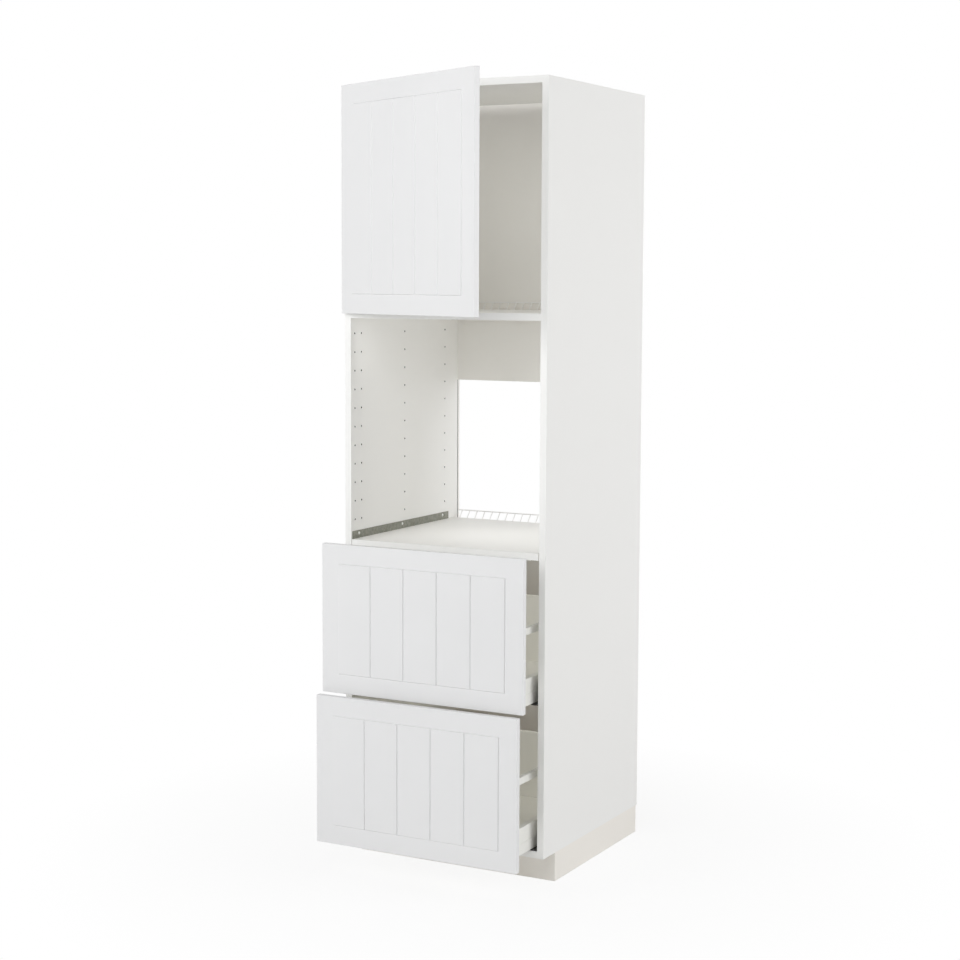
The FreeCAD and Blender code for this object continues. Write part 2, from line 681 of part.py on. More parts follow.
def save_drawer(prefix, zb, front_low, screw_rise, opened):
    """One drawer at its rest place with its runners."""
    side = drawer_side(zb)
    fixed = runner_fixed(zb, screw_rise)
    save(prefix + "_drawer_front", [plank_front(front_low, DRAWER_FRONT_H)], opened)
    save(prefix + "_drawer_side_right", [side], opened)
    save(prefix + "_drawer_side_left", [mirrored(side)], opened)
    save(prefix + "_drawer_floor", [drawer_floor(zb)], opened)
    save(prefix + "_drawer_back", [drawer_back(zb)], opened)
    save(prefix + "_drawer_rails", pair(drawer_rail(zb)), opened)
    save(prefix + "_drawer_brackets", pair(*drawer_brackets(zb)), opened)
    save(prefix + "_runner_inner", pair(runner_inner(zb)), opened)
    save(prefix + "_runner_middle", pair(runner_middle(zb)), opened / 2)
    save(prefix + "_runner_fixed_right", [fixed])
    save(prefix + "_runner_fixed_left", [mirrored(fixed)])


os.makedirs("parts", exist_ok=True)
save_boards()
save_fittings()
save_base()
save_door()
save_drawer("lower", LOWER_ZB, LOWER_FRONT_LOW, LOWER_SCREW_RISE, LOWER_OPEN)
save_drawer("upper", UPPER_ZB, UPPER_FRONT_LOW, UPPER_SCREW_RISE, UPPER_OPEN)
save("runner_caps", pair(runner_cap(LOWER_ZB), runner_cap(UPPER_ZB)))
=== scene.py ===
# %% [markdown]
# A tall kitchen cabinet: a carcass of white boards, a hinged door above, a niche for an oven in the
# middle and two deep drawers below. The solids of the construction model are already exact, so this
# lesson keeps most of them, gives each its finish, and rebuilds only what needs softer edges or
# finer detail: the three plank fronts and the heads of the screws.

# %% Load the frame
import json
import math

import bmesh
import bpy
from mathutils import Matrix, Vector


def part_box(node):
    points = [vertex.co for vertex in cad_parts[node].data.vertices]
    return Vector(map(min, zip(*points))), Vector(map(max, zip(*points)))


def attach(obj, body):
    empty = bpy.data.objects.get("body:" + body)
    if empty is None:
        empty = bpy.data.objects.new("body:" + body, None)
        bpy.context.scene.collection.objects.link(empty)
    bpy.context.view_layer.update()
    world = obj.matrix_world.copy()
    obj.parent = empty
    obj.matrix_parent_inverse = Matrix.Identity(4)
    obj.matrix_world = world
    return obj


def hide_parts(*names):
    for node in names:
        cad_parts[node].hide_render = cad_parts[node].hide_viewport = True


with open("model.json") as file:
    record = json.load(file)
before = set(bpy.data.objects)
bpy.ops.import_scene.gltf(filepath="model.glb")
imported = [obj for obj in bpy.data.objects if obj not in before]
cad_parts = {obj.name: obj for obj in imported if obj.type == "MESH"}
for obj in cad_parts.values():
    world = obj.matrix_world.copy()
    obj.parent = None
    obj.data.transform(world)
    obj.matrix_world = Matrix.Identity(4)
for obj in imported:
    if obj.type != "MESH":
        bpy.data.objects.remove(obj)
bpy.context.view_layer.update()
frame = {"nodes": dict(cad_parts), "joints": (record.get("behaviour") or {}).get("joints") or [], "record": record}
MM = 0.001

# %% [markdown]
# Node trees are easier to read as sums than as boxes and wires. The first class below wraps one
# socket, and arithmetic on it adds Math nodes. Every other node, in a shader or in Geometry Nodes,
# comes from one method of the second class, which sets a node's options first and then its sockets.

# %% Sockets that can be added and multiplied
class Value:
    """One output socket of a node tree."""

    def __init__(self, tree, socket):
        self.tree = tree
        self.socket = socket

    def math(self, operation, *values):
        return self.tree.node("ShaderNodeMath", {"operation": operation}, dict(enumerate(values)))

    def __add__(self, other):
        return self.math("ADD", self, other)

    def __sub__(self, other):
        return self.math("SUBTRACT", self, other)

    def __rsub__(self, other):
        return self.math("SUBTRACT", other, self)

    def __mul__(self, other):
        return self.math("MULTIPLY", self, other)

    def __truediv__(self, other):
        return self.math("DIVIDE", self, other)

    def __pow__(self, other):
        return self.math("POWER", self, other)

    def __gt__(self, other):
        return self.math("GREATER_THAN", self, other)

    def __lt__(self, other):
        return self.math("LESS_THAN", self, other)

    def __abs__(self):
        return self.math("ABSOLUTE", self)

    def sign(self):
        return self.math("SIGN", self)

    def at_least(self, other):
        return self.math("MAXIMUM", self, other)

    def at_most(self, other):
        return self.math("MINIMUM", self, other)

    __radd__ = __add__
    __rmul__ = __mul__


class Tree:
    """A node tree that hands out Values."""

    def __init__(self, node_tree):
        self.nodes = node_tree.nodes
        self.links = node_tree.links

    def node(self, kind, settings=None, inputs=None, out=0):
        made = self.nodes.new(kind)
        for key, setting in (settings or {}).items():
            setattr(made, key, setting)
        for key, given in (inputs or {}).items():
            if isinstance(given, Value):
                self.links.new(given.socket, made.inputs[key])
            else:
                made.inputs[key].default_value = given
        return Value(self, made.outputs[out]) if made.outputs else None

    def vector(self, **axes):
        return self.node("ShaderNodeCombineXYZ", inputs=axes)

    def axis(self, vector, name):
        return self.node("ShaderNodeSeparateXYZ", inputs={"Vector": vector}, out=name)


print("socket arithmetic is ready")

# %% [markdown]
# All finishes are made from the same few patterns, read in Object coordinates so that they stay on
# the board they belong to: a soft cloud for colour and gloss, a finer one for bump, and the
# surface's own normal, which tells the cut edges of a board from its faces.

# %% Patterns shared by the finishes
MIX_FACTOR, MIX_FIRST, MIX_SECOND = 0, 6, 7      # the Mix node's inputs for colours
MIX_RESULT = 2                                   # and its output for them
finishes = {}


def rgb(*channels):
    return (*channels, 1.0)


class Finish(Tree):
    """A material with one principled shader, and the patterns that feed it."""

    def __init__(self, name, **constants):
        self.material = bpy.data.materials.new(name)
        self.material.use_nodes = True
        super().__init__(self.material.node_tree)
        self.shader = self.nodes["Principled BSDF"]
        for key, constant in constants.items():
            self.shader.inputs[key.replace("_", " ")].default_value = constant
        self.place = self.node("ShaderNodeTexCoord", out="Object")

    def stretched(self, x=1.0, y=1.0, z=1.0):
        return self.node("ShaderNodeMapping", inputs={"Vector": self.place, "Scale": (x, y, z)})

    def cloud(self, scale, detail=2.0, place=None):
        """Soft noise from nought to one; the scale counts its cells per metre."""
        inputs = {"Vector": place or self.place, "Scale": scale, "Detail": detail}
        return self.node("ShaderNodeTexNoise", inputs=inputs)

    def cell_tone(self, scale, place):
        """One random tone for each cell of a crystal-like pattern."""
        inputs = {"Vector": place, "Scale": scale}
        return self.axis(self.node("ShaderNodeTexVoronoi", inputs=inputs, out="Color"), "X")

    def facing(self, name):
        """Part of the surface's own normal along an axis."""
        return self.axis(self.node("ShaderNodeNewGeometry", out="Normal"), name)

    def mix(self, factor, first, second):
        inputs = {MIX_FACTOR: factor, MIX_FIRST: first, MIX_SECOND: second}
        return self.node("ShaderNodeMix", {"data_type": "RGBA"}, inputs, MIX_RESULT)

    def feed(self, name, value):
        self.links.new(value.socket, self.shader.inputs[name])

    def roughen(self, height, distance):
        """Bump whose highest and lowest points are this distance apart."""
        inputs = {"Height": height, "Distance": distance}
        self.feed("Normal", self.node("ShaderNodeBump", inputs=inputs))


print("patterns are ready")

# %% [markdown]
# The fronts are fibreboard sprayed with satin paint, a clean cool white. Sprayed paint is never
# quite flat: it has a shallow orange peel about a millimetre across, and its gloss drifts a little.
# Both are too small to see as shapes, so they are a bump and a roughness pattern and not geometry.

# %% Satin paint of the fronts
PAINT_TONES = rgb(0.775, 0.777, 0.782), rgb(0.805, 0.807, 0.81)
ORANGE_PEEL = 900.0


def satin_paint():
    paint = Finish("satin_paint", Specular_IOR_Level=0.42)
    paint.feed("Base Color", paint.mix(paint.cloud(5.0), *PAINT_TONES))
    paint.feed("Roughness", 0.34 + 0.12 * paint.cloud(38.0, detail=4.0))
    paint.roughen(paint.cloud(ORANGE_PEEL, detail=1.0), 0.03 * MM)
    return paint.material


finishes["front_paint"] = satin_paint()
print("paint:", finishes["front_paint"].name)

# %% [markdown]
# The carcass is chipboard with a white melamine skin. Its front edges carry a glued edge band, a
# cooler white than the faces. The seam where band and skin meet is darkened as painted shade.
# The outer faces of the side boards are painted greyer, as painted shade, and the walls of the
# bored holes nearly black, also as painted shade: what lies within the thickness of a side board,
# away from its faces and edges, can only be the wall of a hole.

# %% Edge bands and bored holes
BAND_T = 1.0 * MM
# The grey line where band and skin meet is painted shade of the seam.
LINE_T = 0.3 * MM
SEAM_SHADE_SHARE = 0.35                # how much of the line's grey shows
HAIR = 0.05 * MM                 # keeps the masks clear of the faces themselves
BAND_WHITE = rgb(0.9, 0.9, 0.885)
SEAM_SHADE_GREY = rgb(0.45, 0.43, 0.4)
# Painted shade: the outer faces of the side boards are painted greyer than their inner faces.
OUTER_FACE_SHADE = rgb(0.845, 0.842, 0.826)
# Painted shade: the walls of the holes are painted nearly black.
HOLE_WALL_SHADE = rgb(0.012, 0.011, 0.01)

side_low, side_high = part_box("side_panel_right")
FRONT_EDGE = side_low.y


def from_front(board):
    """Distance behind the front edge of the carcass."""
    return board.axis(board.place, "Y") - FRONT_EDGE


def with_band(board, skin):
    """The skin with a white front edge and a thin line of painted shade behind it."""
    depth = from_front(board)
    on_seam_shade = (depth > BAND_T - LINE_T) * (depth < BAND_T)
    skin = board.mix(depth < BAND_T, skin, BAND_WHITE)
    # Painted shade: a grey line along the seam behind the edge band.
    return board.mix(on_seam_shade * SEAM_SHADE_SHARE, skin, SEAM_SHADE_GREY)


def with_holes(board, skin):
    """The skin of a side board, with painted shade on its outer face and in its holes."""
    sideways = abs(board.axis(board.place, "X"))
    height = board.axis(board.place, "Z")
    # Painted shade on the outer face of the board.
    skin = board.mix(sideways > side_high.x - HAIR, skin, OUTER_FACE_SHADE)
    # Painted shade: inside the board's thickness lie only hole walls, painted nearly black.
    within = (sideways > side_low.x + HAIR) * (sideways < side_high.x - HAIR)
    within = within * (from_front(board) > 2 * BAND_T)
    within = within * (height > side_low.z + HAIR) * (height < side_high.z - HAIR)
    return board.mix(within, skin, HOLE_WALL_SHADE)


print("front edge of the carcass at", round(FRONT_EDGE, 4))

# %% [markdown]
# The boards differ in tone and in how their edges are finished. The plinth's white is warmer, and
# darker than the carcass's as painted shade of its recess under the cabinet. The edges that face
# the wall are left bare on all of them, so the pressed chips show there.

# %% Melamine boards
FACES_WALL = 0.8                 # part of the normal along y above which a face looks at the wall
CARCASS_TONES = rgb(0.92, 0.915, 0.893), rgb(0.935, 0.93, 0.91)
# The plinth is darker as painted shade of its recess under the cabinet.
PLINTH_SHADED_TONES = rgb(0.832, 0.804, 0.756), rgb(0.852, 0.824, 0.776)
DRAWER_TONES = rgb(0.89, 0.88, 0.828), rgb(0.905, 0.895, 0.843)
CHIP_TONES = rgb(0.36, 0.26, 0.16), rgb(0.62, 0.49, 0.33)
CHIPS = 420.0


def melamine(name, tones, banded=True, bored=False):
    board = Finish(name, Specular_IOR_Level=0.4)
    skin = board.mix(board.cloud(3.0), *tones)
    if banded:
        skin = with_band(board, skin)
    if bored:
        skin = with_holes(board, skin)
    bare = board.facing("Y") > FACES_WALL
    chips = board.mix(board.cell_tone(CHIPS, board.stretched(z=2.2)), *CHIP_TONES)
    board.feed("Base Color", board.mix(bare, skin, chips))
    board.feed("Roughness", 0.4 + 0.1 * board.cloud(60.0, detail=3.0) + 0.35 * bare)
    board.roughen(board.cloud(650.0), 0.03 * MM)
    return board.material


finishes["board_white"] = melamine("melamine_carcass", CARCASS_TONES)
finishes["board_bored"] = melamine("melamine_side", CARCASS_TONES, bored=True)
finishes["plinth_white"] = melamine("melamine_plinth", PLINTH_SHADED_TONES, banded=False)
finishes["drawer_board"] = melamine("melamine_drawer", DRAWER_TONES, banded=False)
print("boards:", [slot for slot in finishes if slot != "front_paint"])

# %% [markdown]
# The back panels are thin fibreboard, white on the room side and bare on the wall side, where the
# pressed fibres show as a fine, slightly streaky brown.

# %% Back board
BACK_TONES = rgb(0.83, 0.818, 0.784), rgb(0.85, 0.838, 0.804)
FIBRE_TONES = rgb(0.34, 0.25, 0.17), rgb(0.52, 0.41, 0.3)
FIBRES = 260.0


def back_board():
    board = Finish("back_board", Specular_IOR_Level=0.35)
    fibres = board.cloud(FIBRES, detail=5.0, place=board.stretched(z=0.35))
    white = board.mix(board.cloud(4.0), *BACK_TONES)
    brown = board.mix(fibres, *FIBRE_TONES)
    bare = board.facing("Y") > FACES_WALL
    board.feed("Base Color", board.mix(bare, white, brown))
    board.feed("Roughness", 0.42 + 0.1 * board.cloud(70.0) + 0.3 * bare)
    board.roughen(fibres, 0.05 * MM)
    return board.material


finishes["back_white"] = back_board()
print("back:", finishes["back_white"].name)

# %% [markdown]
# Metal comes in four finishes here. Drawer sides, rails and the wire grilles are powder coated:
# white, with a fine pebbled bump. Angles, runners and brackets are galvanised, and zinc cools into
# spangles a few millimetres wide that differ in tone. Hinges are nickel plated, which is smoother
# and warmer, and the screws of the shelf angles have a bright zinc plate.

# %% Powder coat, galvanised steel, nickel and zinc plate
COAT_DARKER = 0.97
SPANGLES = 150.0
SPANGLE_TONES = rgb(0.24, 0.243, 0.205), rgb(0.35, 0.353, 0.305)
NICKEL_TONES = rgb(0.55, 0.53, 0.49), rgb(0.66, 0.64, 0.6)
PLATE_TONES = rgb(0.8, 0.8, 0.79), rgb(0.9, 0.9, 0.88)


def powder_coat(name, colour, pebble):
    coat = Finish(name, Specular_IOR_Level=0.45)
    darker = tuple(c * COAT_DARKER for c in colour)
    coat.feed("Base Color", coat.mix(coat.cloud(14.0), rgb(*darker), rgb(*colour)))
    coat.feed("Roughness", 0.38 + 0.12 * coat.cloud(120.0, detail=3.0))
    coat.roughen(coat.cloud(pebble, detail=1.0), 0.04 * MM)
    return coat.material


def galvanised():
    zinc = Finish("galvanised", Metallic=1.0)
    tone = zinc.cell_tone(SPANGLES, zinc.place)
    zinc.feed("Base Color", zinc.mix(tone, *SPANGLE_TONES))
    zinc.feed("Roughness", 0.36 + 0.16 * tone + 0.08 * zinc.cloud(300.0))
    zinc.roughen(zinc.cloud(500.0), 0.02 * MM)
    return zinc.material


def nickel():
    plate = Finish("nickel", Metallic=1.0)
    plate.feed("Base Color", plate.mix(plate.cloud(90.0, detail=3.0), *NICKEL_TONES))
    plate.feed("Roughness", 0.22 + 0.16 * plate.cloud(260.0, detail=4.0))
    plate.roughen(plate.cloud(800.0), 0.01 * MM)
    return plate.material


def zinc_plate():
    plate = Finish("zinc_plate", Metallic=1.0)
    plate.feed("Base Color", plate.mix(plate.cloud(120.0, detail=3.0), *PLATE_TONES))
    plate.feed("Roughness", 0.3 + 0.14 * plate.cloud(300.0, detail=3.0))
    plate.roughen(plate.cloud(800.0), 0.01 * MM)
    return plate.material


finishes["drawer_steel"] = powder_coat("coat_drawer", (0.865, 0.863, 0.822), pebble=1100.0)
finishes["wire_white"] = powder_coat("coat_wire", (0.86, 0.86, 0.85), pebble=1600.0)
finishes["galvanised"] = galvanised()
finishes["hinge_steel"] = nickel()
finishes["screw_zinc"] = zinc_plate()
print("metals are ready")

# %% [markdown]
# The rest is small: black moulded legs with a spark-eroded texture, dark caps, soft clear studs on
# the door, and beech dowels whose grain runs along them.

# %% Plastics and beech
MOULD_LIGHTER = 1.35
GLOSS_DRIFT = 0.06
BEECH_TONES = rgb(0.55, 0.38, 0.21), rgb(0.74, 0.57, 0.37)
BEECH_GRAIN = 320.0


def moulded(name, colour, rough, grain):
    plastic = Finish(name, Specular_IOR_Level=0.4)
    lighter = tuple(c * MOULD_LIGHTER for c in colour)
    plastic.feed("Base Color", plastic.mix(plastic.cloud(40.0), rgb(*colour), rgb(*lighter)))
    gloss = plastic.cloud(180.0, detail=3.0)
    plastic.feed("Roughness", rough - GLOSS_DRIFT + 2 * GLOSS_DRIFT * gloss)
    plastic.roughen(plastic.cloud(grain), 0.05 * MM)
    return plastic.material


def beech():
    wood = Finish("beech")
    grain = wood.cloud(BEECH_GRAIN, detail=4.0, place=wood.stretched(x=0.06))
    wood.feed("Base Color", wood.mix(grain, *BEECH_TONES))
    wood.feed("Roughness", 0.5 + 0.2 * grain)
    wood.roughen(grain, 0.05 * MM)
    return wood.material


finishes["leg_plastic"] = moulded("black_plastic", (0.022, 0.022, 0.023), rough=0.5, grain=1500.0)
finishes["cap_plastic"] = moulded("dark_caps", (0.03, 0.03, 0.03), rough=0.45, grain=1500.0)
finishes["bumper_soft"] = moulded("clear_studs", (0.55, 0.55, 0.54), rough=0.35, grain=900.0)
finishes["dowel_beech"] = beech()
print("finishes:", len(finishes))

# %% [markdown]
# The record names a material slot for every node, and the finishes carry the same names. Only the
# two side boards get the finish with holes instead.

# %% Put the finishes on the nodes
for subpart in frame["record"]["subparts"]:
    node = frame["nodes"][subpart["node"]]
    node.material_slots[0].material = finishes[subpart["material_slot"]]
for side in ("left", "right"):
    frame["nodes"]["side_panel_" + side].material_slots[0].material = finishes["board_bored"]

# %% [markdown]
# Helpers for new pieces. A piece made by a modifier is turned into a plain mesh before it rides on
# a body, because only plain meshes keep their shape in the export.

# %% Helpers for new pieces
def add_object(name, mesh):
    made = bpy.data.objects.new(name, mesh)
    bpy.context.scene.collection.objects.link(made)
    return made


def as_mesh(name, body):
    """A plain mesh from a bmesh, which is freed."""
    mesh = bpy.data.meshes.new(name)
    body.to_mesh(mesh)
    body.free()
    return mesh


def joined(name, meshes):
    whole = bmesh.new()
    for mesh in meshes:
        whole.from_mesh(mesh)
    return as_mesh(name, whole)


def baked(source):
    """The evaluated mesh of an object; the object itself goes."""
    graph = bpy.context.evaluated_depsgraph_get()
    mesh = bpy.data.meshes.new_from_object(source.evaluated_get(graph))
    bpy.data.objects.remove(source)
    return mesh


def shade_smooth(mesh, sharp_deg):
    """Smooth shading that breaks at edges sharper than the angle."""
    for face in mesh.polygons:
        face.use_smooth = True
    mesh.set_sharp_from_angle(angle=math.radians(sharp_deg))


print("mesh helpers are ready")

# %% [markdown]
# A Geometry Nodes tree states a rule once and is then run on as many meshes as need it. Its inputs
# have names, and its last two nodes are always the same: make the instances real and give them
# their material.

# %% Helpers for Geometry Nodes trees
def new_tree(name, sockets):
    """An empty tree with named inputs."""
    group = bpy.data.node_groups.new(name, "GeometryNodeTree")
    group.interface.new_socket("Geometry", in_out="INPUT", socket_type="NodeSocketGeometry")
    for label, kind in sockets.items():
        group.interface.new_socket(label, in_out="INPUT", socket_type="NodeSocket" + kind)
    group.interface.new_socket("Geometry", in_out="OUTPUT", socket_type="NodeSocketGeometry")
    tree = Tree(group)
    entry = tree.node("NodeGroupInput").socket.node
    given = {socket.name: Value(tree, socket) for socket in entry.outputs if socket.name}
    return group, tree, given


def end_tree(tree, geometry, material):
    real = tree.node("GeometryNodeRealizeInstances", inputs={0: geometry})
    painted = tree.node("GeometryNodeSetMaterial", inputs={"Geometry": real, "Material": material})
    tree.node("NodeGroupOutput", inputs={0: painted})


def grown(name, group, base, settings):
    """Run a tree on a mesh and return the plain result."""
    holder = add_object(name, base)
    modifier = holder.modifiers.new("tree", "NODES")
    modifier.node_group = group
    for item in group.interface.items_tree:
        if item.item_type == "SOCKET" and item.in_out == "INPUT" and item.name in settings:
            modifier[item.identifier] = settings[item.name]
    return baked(holder)


print("tree helpers are ready")

# %% [markdown]
# Each front is a slab with a flat border and a raised field of planks. The planks follow a rule:
# equal widths across the field, each with rounded shoulders, so that two shoulders make the groove
# between neighbours. The tree takes the number of planks and their sizes as inputs, and serves the
# door and both drawers. Each plank is a block of many columns, and Set Position lowers the columns
# and rows near its rim.

# %% The rule for the planks
STEPS = 11                       # columns and rows of a plank, odd so that both rims are alike
RIM_STEPS = 4                    # steps in a shoulder
SHOULDER_BEND = 1.15             # one gives a straight slope, two a round one
BLOCK = (2.0, 2.0, 2.0)          # from minus one to one, so that half sizes scale it
INNER = 1.0 - RIM_STEPS * 2.0 / (STEPS - 1)      # where the shoulder starts on that block
SNAP = 0.001                     # rounding allowed when a column is compared with the rim


def plank_rule():
    group, tree, given = new_tree("plank_field", {
        "Planks": "Int", "Field Width": "Float", "Field Height": "Float", "Raise": "Float",
        "Sunk": "Float", "Shoulder": "Float", "Material": "Material"})
    width, shoulder = given["Field Width"], given["Shoulder"]
    pitch = width / given["Planks"]
    line = tree.node("GeometryNodeMeshLine", inputs={
        "Count": given["Planks"],
        "Start Location": tree.vector(X=(pitch - width) * 0.5),
        "Offset": tree.vector(X=pitch)})
    block = tree.node("GeometryNodeMeshCube", inputs={
        "Size": BLOCK, "Vertices X": STEPS, "Vertices Y": 2, "Vertices Z": STEPS})
    place = tree.node("GeometryNodeInputPosition")
    x, y, z = (tree.axis(place, name) for name in "XYZ")

    def spread(unit, half):
        """Send a unit coordinate to its column: even steps over the shoulder, flat inside it."""
        size = abs(unit)
        along = (size - INNER).at_least(0.0) / (1.0 - INNER)
        rim_at = (half - shoulder) + along * shoulder
        flat_at = size / INNER * (half - shoulder)
        on_rim = size > INNER - SNAP
        return unit.sign() * (on_rim * rim_at + (1.0 - on_rim) * flat_at), along

    new_x, rim_x = spread(x, pitch * 0.5)
    new_z, rim_z = spread(z, given["Field Height"] * 0.5)
    crown = given["Raise"] * (1.0 - rim_x.at_least(rim_z) ** SHOULDER_BEND)
    front = y < 0.0
    new_y = (1.0 - front) * given["Sunk"] - front * crown
    moved = tree.node("GeometryNodeSetPosition", inputs={
        "Geometry": block, "Position": tree.vector(X=new_x, Y=new_y, Z=new_z)})
    planks = tree.node("GeometryNodeInstanceOnPoints", inputs={"Points": line, "Instance": moved})
    end_tree(tree, planks, given["Material"])
    return group


plank_tree = plank_rule()
print("plank rule:", len(plank_tree.nodes), "nodes")

# %% [markdown]
# The slab of a front is a box with softly rounded edges. The door's slab also has two pockets bored
# into its back for the hinge cups.

# %% The slab of a front
EDGE_ROUND = 1.2 * MM
EDGE_SEGMENTS = 3
EDGE_PROFILE = 0.5               # a quarter of a circle
CUP_R = 17.6 * MM
CUP_DEEP = 13.3 * MM
DRILL_SEGMENTS = 48


def cup_drill(place):
    """A cylinder along y that bores one pocket."""
    tool = bmesh.new()
    bmesh.ops.create_cone(tool, cap_ends=True, segments=DRILL_SEGMENTS,
                          radius1=CUP_R, radius2=CUP_R, depth=2 * CUP_DEEP)
    tool.transform(Matrix.Translation(place) @ Matrix.Rotation(math.pi / 2, 4, "X"))
    return add_object("drill", as_mesh("drill", tool))


def rounded_slab(name, low, high, pockets):
    """A board between two corners; pockets are (x, z) centres bored into its back."""
    body = bmesh.new()
    bmesh.ops.create_cube(body, size=1.0)
    bmesh.ops.scale(body, vec=high - low, verts=body.verts)
    bmesh.ops.translate(body, vec=(low + high) / 2, verts=body.verts)
    bmesh.ops.bevel(body, geom=body.edges, offset=EDGE_ROUND, segments=EDGE_SEGMENTS,
                    profile=EDGE_PROFILE, affect="EDGES")
    slab = add_object(name, as_mesh(name, body))
    drills = [cup_drill((x, high.y, z)) for x, z in pockets]
    for drill in drills:
        cut = slab.modifiers.new("pocket", "BOOLEAN")
        cut.operation = "DIFFERENCE"
        cut.object = drill
    result = baked(slab)
    for drill in drills:
        bpy.data.objects.remove(drill)
    return result


print("slab rounding:", EDGE_ROUND)

# %% [markdown]
# A whole front joins its slab and its field, sits where the solid was, and takes that solid's place
# on its body. The print tells how far its corners are from the solid's.

# %% One front
PLANKS = 5
BORDER = 51.0 * MM
RAISE = 3.0 * MM
SHOULDER = 2.4 * MM
SUNK = 1.0 * MM                  # how far the planks reach into the slab
FRONT_SHARP_DEG = 50


def plank_front(name, node, body, low, high, turn=Matrix.Identity(4), pockets=()):
    """One front; low and high are the corners of its slab when closed."""
    slab = rounded_slab(name, low, high, pockets)
    size = high - low
    field = grown(name + "_field", plank_tree, bpy.data.meshes.new("field"), {
        "Planks": PLANKS, "Field Width": size.x - 2 * BORDER, "Field Height": size.z - 2 * BORDER,
        "Raise": RAISE, "Sunk": SUNK, "Shoulder": SHOULDER, "Material": finishes["front_paint"]})
    middle = (low + high) / 2
    field.transform(Matrix.Translation((middle.x, low.y, middle.z)))
    mesh = joined(name, [slab, field])
    mesh.transform(turn)
    mesh.materials.append(finishes["front_paint"])
    for face in mesh.polygons:
        face.material_index = 0
    shade_smooth(mesh, FRONT_SHARP_DEG)
    shaded = add_object(name + "_shaded", mesh)
    even = shaded.modifiers.new("flat_faces_stay_flat", "WEIGHTED_NORMAL")
    even.keep_sharp = True
    front = add_object(name, baked(shaded))
    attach(front, body)
    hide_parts(node)
    got = [Vector(map(pick, zip(*(v.co for v in mesh.vertices)))) for pick in (min, max)]
    off = [max(abs(c) for c in ours - solid) for ours, solid in zip(got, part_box(node))]
    print(name, "faces", len(mesh.polygons), "off the solid by mm", [round(o / MM, 2) for o in off])


print("planks in a front:", PLANKS)

# %% [markdown]
# Now the three fronts. The drawers' fronts take their place from the solids they replace. The
# door's solid is turned open, so its front is made closed and then turned about the hinge pin by
# the angle that the joint gives.

# %% The three fronts
FRONT_GAP = 3.0 * MM             # between the carcass and a closed front
CUP_FROM_EDGE = 20.0 * MM
PLATE_HALF = 10.0 * MM           # half the height of a hinge plate

for level in ("upper", "lower"):
    solid = level + "_drawer_front"
    front_low, front_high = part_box(solid)
    slab_low = front_low + Vector((0.0, RAISE, 0.0))
    plank_front(level + "_front", solid, level + "_drawer", slab_low, front_high)

swing = next(j for j in frame["joints"] if j["name"] == "door_swing")
pin = Vector(swing["pos_m"])
opened = math.radians(-swing["range_deg"][0])
door_turn = Matrix.Translation(pin) @ Matrix.Rotation(-opened, 4, "Z") @ Matrix.Translation(-pin)

plates_low, plates_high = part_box("hinge_plates")
hinge_zs = (plates_low.z + PLATE_HALF, plates_high.z - PLATE_HALF)
front_low, front_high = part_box("upper_drawer_front")
door_low, door_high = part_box("door_panel")
back_y = FRONT_EDGE - FRONT_GAP
slab_t = front_high.y - front_low.y - RAISE
closed_low = Vector((front_low.x, back_y - slab_t, door_low.z))
closed_high = Vector((front_high.x, back_y, door_high.z))
cup_x = closed_low.x + CUP_FROM_EDGE
cups = [(cup_x, z) for z in hinge_zs]
plank_front("door_front", "door_panel", "door", closed_low, closed_high, door_turn, cups)

# %% [markdown]
# Screws hold the fittings. Their heads are all alike apart from size, so one tree makes them: a
# flattened dome with a cross recess cut by a Mesh Boolean, set on every point of a small mesh and
# turned to the direction that the point carries.

# %% The rule for the screw heads
HEAD_SEGMENTS = 20
HEAD_RINGS = 10
BAR_OVER = 1.1                   # the bars that cut the cross reach a little past the head


def screw_rule():
    group, tree, given = new_tree("screw_heads", {
        "Head Radius": "Float", "Head Height": "Float", "Recess Width": "Float",
        "Material": "Material"})
    radius, height, recess = (given["Head Radius"], given["Head Height"], given["Recess Width"])
    dome = tree.node("GeometryNodeMeshUVSphere", inputs={
        "Segments": HEAD_SEGMENTS, "Rings": HEAD_RINGS, "Radius": 1.0})
    head = tree.node("GeometryNodeTransform", inputs={
        "Geometry": dome, "Scale": tree.vector(X=radius, Y=radius, Z=height)})
    cross = tree.node("GeometryNodeMeshBoolean", {"operation": "DIFFERENCE"}, {"Mesh 1": head})
    long, deep = radius * BAR_OVER, height * BAR_OVER
    for wide, tall in ((long, recess), (recess, long)):
        bar = tree.node("GeometryNodeMeshCube", inputs={
            "Size": tree.vector(X=wide, Y=tall, Z=deep)})
        lifted = tree.node("GeometryNodeTransform", inputs={
            "Geometry": bar, "Translation": tree.vector(Z=height)})
        tree.links.new(lifted.socket, cross.socket.node.inputs["Mesh 2"])
    way = tree.node("GeometryNodeInputNamedAttribute", {"data_type": "FLOAT_VECTOR"},
                    {"Name": "facing"})
    turn = tree.node("FunctionNodeAlignRotationToVector", {"axis": "Z"}, {"Vector": way})
    heads = tree.node("GeometryNodeInstanceOnPoints", inputs={
        "Points": given["Geometry"], "Instance": cross, "Rotation": turn})
    end_tree(tree, heads, given["Material"])
    return group


screw_tree = screw_rule()
print("screw rule:", len(screw_tree.nodes), "nodes")

# %% [markdown]
# A set of screws is a small mesh of points, each with its direction, run through that tree. The set
# rides on one body, and may take the place of a node.

# %% A set of screws
RECESS_SHARE = 0.26              # width of the cross as a share of the head's radius
HEAD_SHARP_DEG = 40


